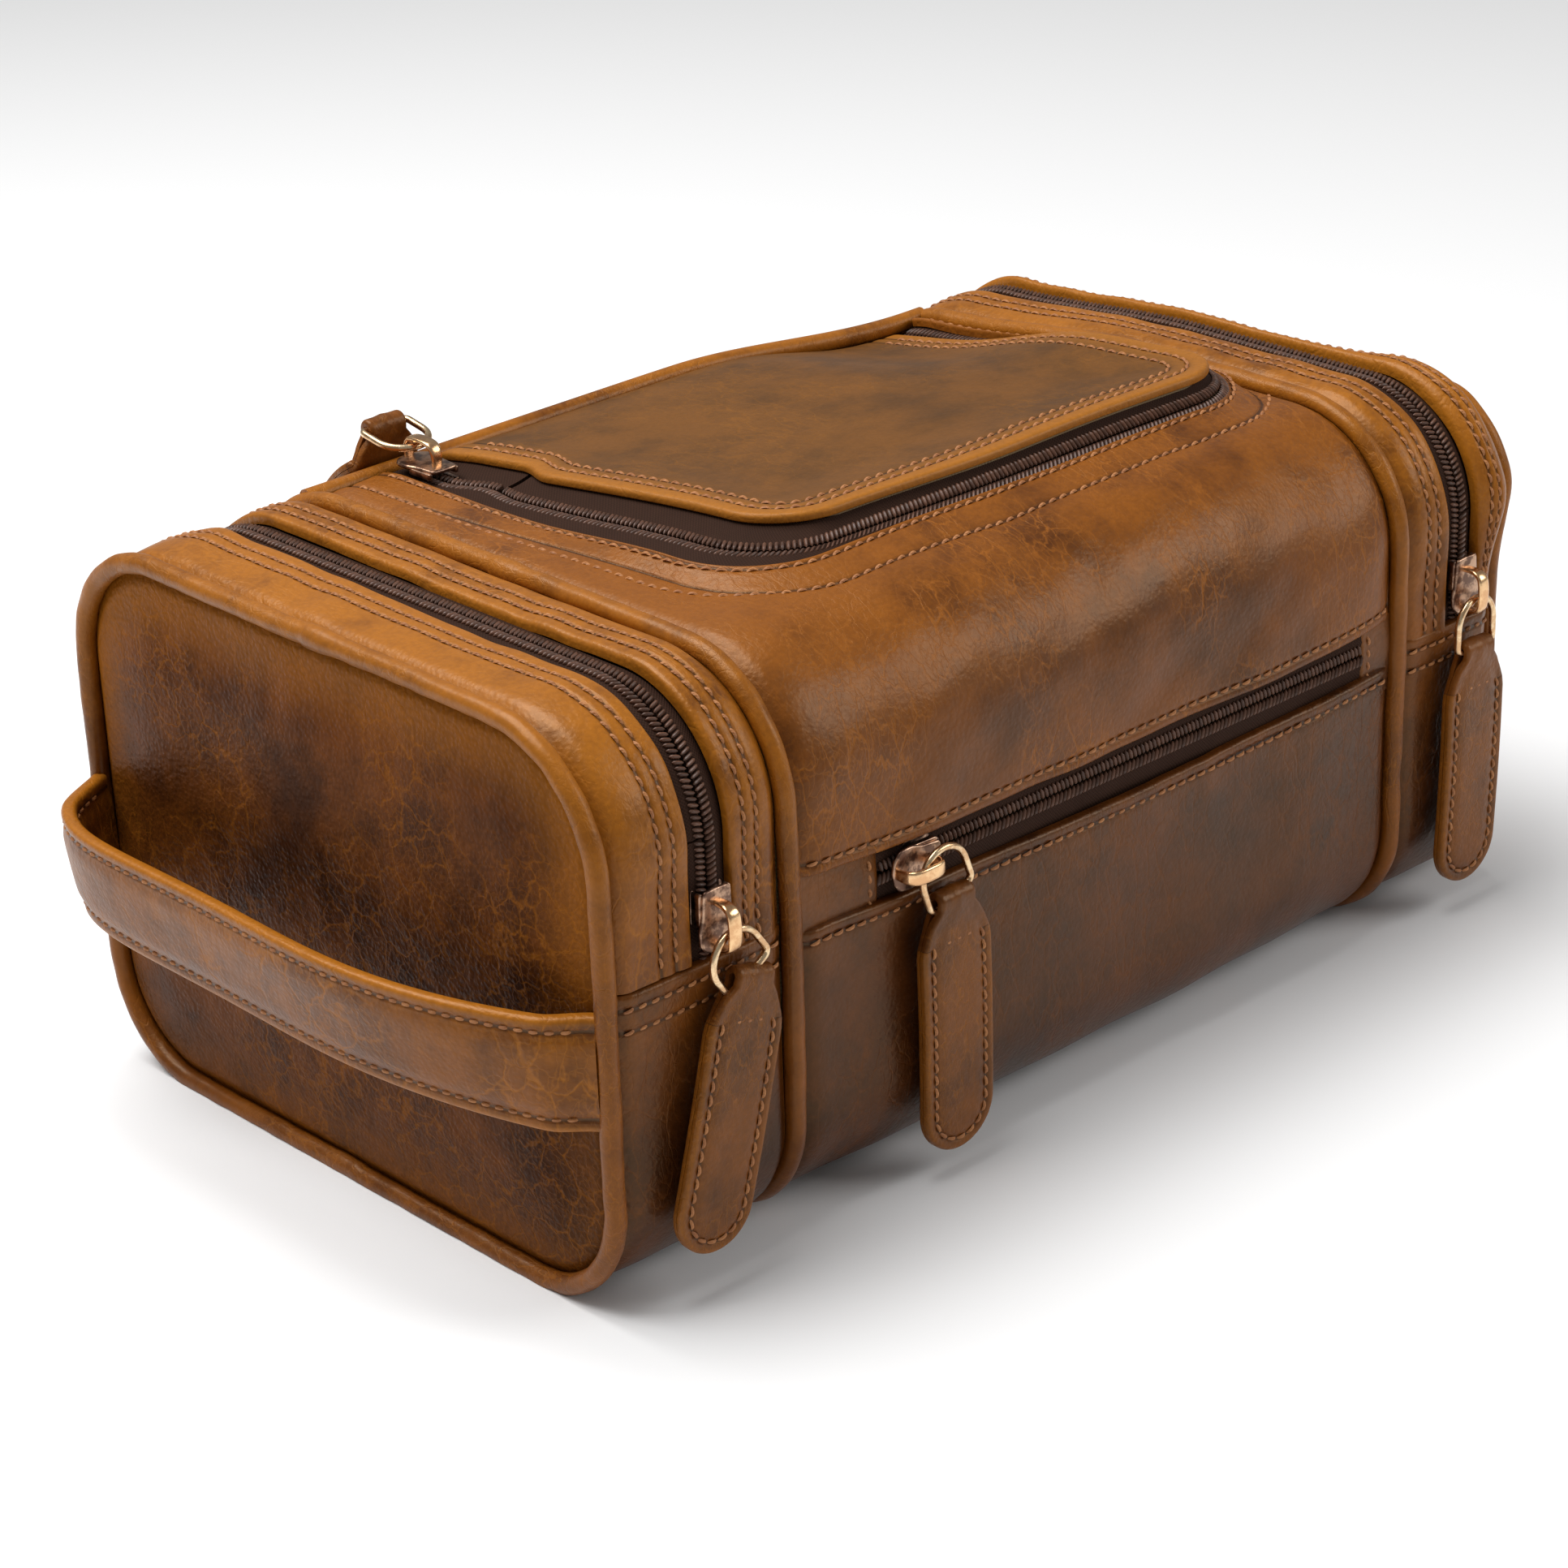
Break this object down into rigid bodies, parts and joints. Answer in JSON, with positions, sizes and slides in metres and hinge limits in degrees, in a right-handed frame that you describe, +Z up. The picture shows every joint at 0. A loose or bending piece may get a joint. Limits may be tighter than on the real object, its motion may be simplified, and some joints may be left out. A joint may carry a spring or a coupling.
{
  "type": "shaving kit bag",
  "caption": "Boxy leather wash bag with a zipped lid, zipped fold-out ends, a zipped front pocket and a side carrying strap.",
  "frame": {"origin": "middle of the base, on the surface that the bag stands on", "axes": "+X along the bag towards its right end, -Y towards the front pocket, +Z up"},
  "size_m": [0.2989, 0.1753, 0.1309],
  "materials": {
    "leather_top": "waxed pull-up, golden tan",
    "leather_lower": "waxed pull-up, dark tan",
    "leather_end": "waxed pull-up, mottled",
    "piping_leather": "rolled and waxed",
    "strap_leather": "two plies, stitched and burnished",
    "lining_cloth": "plain woven cotton",
    "zip_tape": "woven tape with nylon coil",
    "slider_bronze": "antique bronze",
    "ring_brass": "worn brass"
  },
  "bodies": {
    "bag": {"top_front_panel": "leather_top", "front_pocket_panel": "leather_lower", "back_panel": "leather_top", "base_panel": "leather_lower", "rear_piping": "piping_leather", "left_inner_piping": "piping_leather", "right_inner_piping": "piping_leather", "left_partition": "lining_cloth", "right_partition": "lining_cloth", "main_lining": "lining_cloth", "base_board": "lining_cloth", "lid_zip_body_half": "zip_tape", "pocket_zip_upper_half": "zip_tape", "pocket_zip_lower_half": "zip_tape", "pocket_zip_tabs": "leather_top", "pocket_lining": "lining_cloth", "left_inner_gusset": "leather_top", "left_lower_gusset": "leather_lower", "left_end_panel_lower": "leather_end", "left_outer_piping_lower": "piping_leather", "left_zip_fixed_half": "zip_tape", "left_lining": "lining_cloth", "right_inner_gusset": "leather_top", "right_lower_gusset": "leather_lower", "right_end_panel_lower": "leather_end", "right_outer_piping_lower": "piping_leather", "right_zip_fixed_half": "zip_tape", "right_lining": "lining_cloth"},
    "lid": {"lid_panel": "leather_top", "lid_lining": "lining_cloth", "lid_zip_half": "zip_tape"},
    "left_flap": {"left_flap_panel": "leather_end", "left_flap_gusset": "leather_top", "left_flap_piping": "piping_leather", "left_flap_zip_half": "zip_tape"},
    "right_flap": {"right_flap_panel": "leather_end", "right_flap_gusset": "leather_top", "right_flap_piping": "piping_leather", "right_flap_zip_half": "zip_tape"},
    "handle": {"handle_strap": "strap_leather"},
    "lid_slider": {"lid_slider": "slider_bronze"},
    "lid_ring": {"lid_pull_ring": "ring_brass"},
    "lid_puller": {"lid_puller": "strap_leather"},
    "pocket_slider": {"pocket_slider": "slider_bronze"},
    "pocket_ring": {"pocket_pull_ring": "ring_brass"},
    "pocket_puller": {"pocket_puller": "strap_leather"},
    "left_slider": {"left_slider": "slider_bronze"},
    "left_ring": {"left_pull_ring": "ring_brass"},
    "left_puller": {"left_puller": "strap_leather"},
    "right_slider": {"right_slider": "slider_bronze"},
    "right_ring": {"right_pull_ring": "ring_brass"},
    "right_puller": {"right_puller": "strap_leather"}
  },
  "joints": [
    {"name": "lid_hinge", "type": "hinge", "parent": "bag", "child": "lid", "pos_m": [0, 0.064, 0.118], "axis": [-1, 0, 0], "range_deg": [0, 110]},
    {"name": "left_flap_fold", "type": "hinge", "parent": "bag", "child": "left_flap", "pos_m": [-0.14, 0, 0.069], "axis": [0, -1, 0], "range_deg": [0, 55]},
    {"name": "right_flap_fold", "type": "hinge", "parent": "bag", "child": "right_flap", "pos_m": [0.14, 0, 0.069], "axis": [0, 1, 0], "range_deg": [0, 55]},
    {"name": "handle_lift", "type": "hinge", "parent": "bag", "child": "handle", "pos_m": [-0.14, 0, 0.0665], "axis": [0, 1, 0], "range_deg": [0, 20]},
    {"name": "pocket_slider_run", "type": "slide", "parent": "bag", "child": "pocket_slider", "axis": [1, 0, 0], "range_m": [0, 0.13]},
    {"name": "pocket_ring_swing", "type": "hinge", "parent": "pocket_slider", "child": "pocket_ring", "pos_m": [-0.0556, -0.0863, 0.07], "axis": [0, 1, 0], "range_deg": [-35, 35]},
    {"name": "pocket_puller_lift", "type": "hinge", "parent": "pocket_ring", "child": "pocket_puller", "pos_m": [-0.05266, -0.0863, 0.06192], "axis": [-0.9397, 0, -0.342], "range_deg": [0, 90]},
    {"name": "left_slider_run", "type": "slide", "parent": "bag", "child": "left_slider", "axis": [0, 0, 1], "range_m": [0, 0.0085]},
    {"name": "left_ring_swing", "type": "hinge", "parent": "left_slider", "child": "left_ring", "pos_m": [-0.1115, -0.0863, 0.0721], "axis": [0, 1, 0], "range_deg": [-30, 30]},
    {"name": "left_puller_lift", "type": "hinge", "parent": "left_ring", "child": "left_puller", "pos_m": [-0.10657, -0.0863, 0.06506], "axis": [-0.8192, 0, -0.5736], "range_deg": [0, 90]},
    {"name": "right_slider_run", "type": "slide", "parent": "bag", "child": "right_slider", "axis": [0, 0, 1], "range_m": [0, 0.0085]},
    {"name": "right_ring_swing", "type": "hinge", "parent": "right_slider", "child": "right_ring", "pos_m": [0.1115, -0.0863, 0.0721], "axis": [0, 1, 0], "range_deg": [-30, 30]},
    {"name": "right_puller_lift", "type": "hinge", "parent": "right_ring", "child": "right_puller", "pos_m": [0.1115, -0.0863, 0.0635], "axis": [-1, 0, 0], "range_deg": [0, 90]},
    {"name": "lid_slider_run", "type": "slide", "parent": "bag", "child": "lid_slider", "axis": [0, -1, 0], "range_m": [0, 0.01]},
    {"name": "lid_ring_flip", "type": "hinge", "parent": "lid_slider", "child": "lid_ring", "pos_m": [-0.0665, 0.0564, 0.1248], "axis": [1, 0, 0], "range_deg": [0, 12]},
    {"name": "lid_puller_lift", "type": "hinge", "parent": "lid_ring", "child": "lid_puller", "pos_m": [-0.0665, 0.06782, 0.12681], "axis": [1, 0, 0], "range_deg": [0, 70]}
  ],
  "couplings": [
    {"joint": "lid_puller_lift", "follows": "lid_slider_run", "rad_per_m": 121.3}
  ]
}
